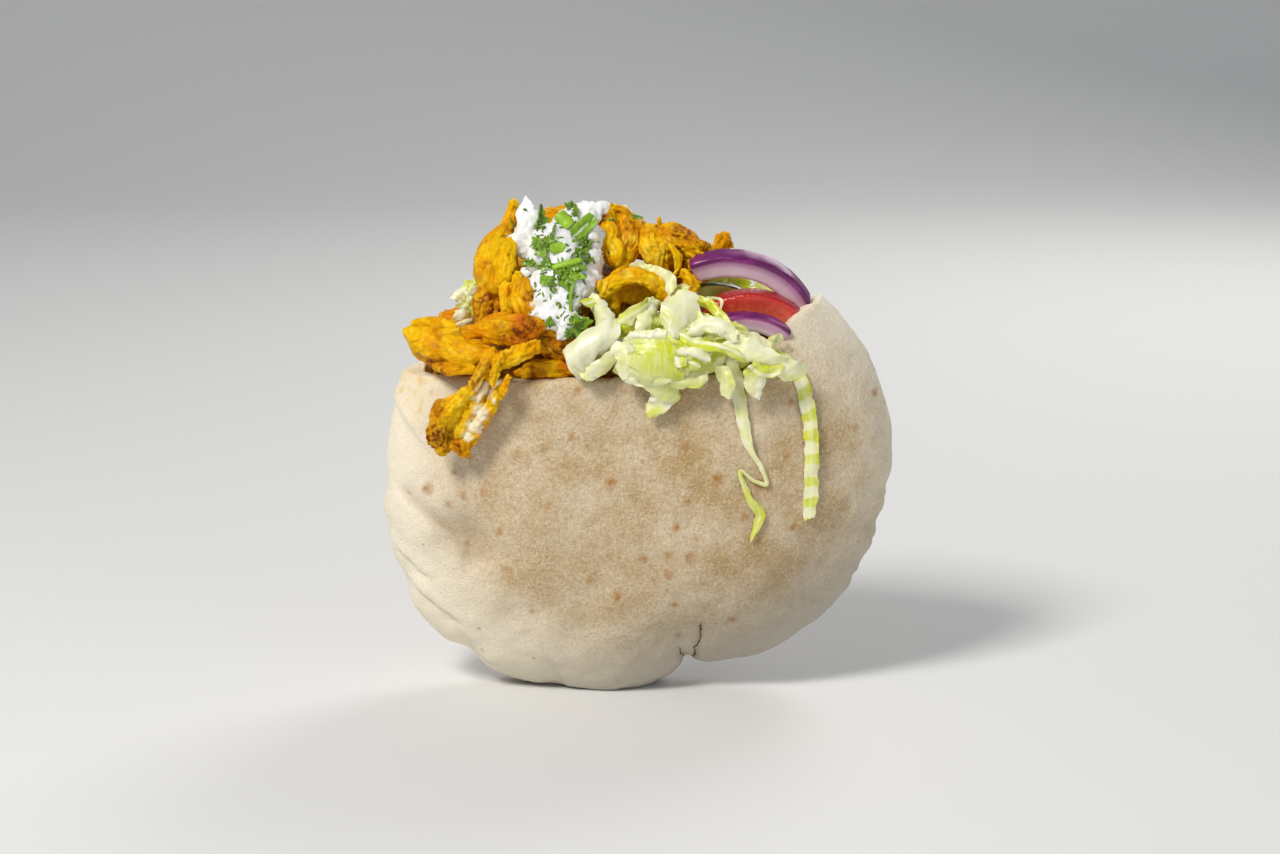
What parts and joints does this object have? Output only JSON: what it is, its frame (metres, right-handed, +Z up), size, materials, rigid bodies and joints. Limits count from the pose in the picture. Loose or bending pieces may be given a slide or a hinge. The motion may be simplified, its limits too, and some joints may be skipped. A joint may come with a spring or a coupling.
{
  "type": "filled pita sandwich",
  "caption": "Round pocket flatbread standing on its lower edge, cut open along the top and heaped with spiced pieces, white sauce, herbs, lettuce, tomato and onion.",
  "frame": {"origin": "on the surface it stands on, under the middle of its box", "axes": "+Z up, +X to the right seen from the side that shows the fillings best, +Y through the thickness towards the back"},
  "size_m": [0.1699, 0.0732, 0.1689],
  "materials": {
    "bread": "floury baked flatbread, matte",
    "spiced_piece": "moist torn fibres, yellow with browned edges",
    "stuffing": "dark moist filling",
    "sauce": "thick white sauce with green herbs, semi-gloss",
    "lettuce": "crisp wet shreds, pale green to white",
    "onion": "purple skin over pinkish white flesh",
    "tomato": "wet cut tomato",
    "cucumber": "wet cut cucumber with dark green rind"
  },
  "bodies": {
    "root": {"bread": "bread", "stuffing": "stuffing", "onion_upper": "onion", "onion_lower": "onion", "tomato_slice": "tomato", "cucumber_slice": "cucumber", "lettuce_front": "lettuce", "lettuce_left": "lettuce", "lettuce_back": "lettuce", "sauce": "sauce", "left_lobe": "spiced_piece", "cross_piece": "spiced_piece", "hanging_piece": "spiced_piece", "upper_lobe": "spiced_piece", "peak_piece": "spiced_piece", "brown_stub": "spiced_piece", "flaky_stub": "spiced_piece", "shaded_piece": "spiced_piece", "edge_piece": "spiced_piece", "right_top": "spiced_piece", "pale_bit": "spiced_piece", "right_big": "spiced_piece", "far_knob": "spiced_piece", "ring_piece": "spiced_piece", "small_bit": "spiced_piece", "lower_bit": "spiced_piece", "left_end": "spiced_piece", "back_left_low": "spiced_piece", "back_left_high": "spiced_piece", "back_top": "spiced_piece", "back_middle_low": "spiced_piece", "back_middle_high": "spiced_piece", "back_right_low": "spiced_piece", "back_right_high": "spiced_piece", "back_right_end": "spiced_piece"}
  },
  "joints": []
}
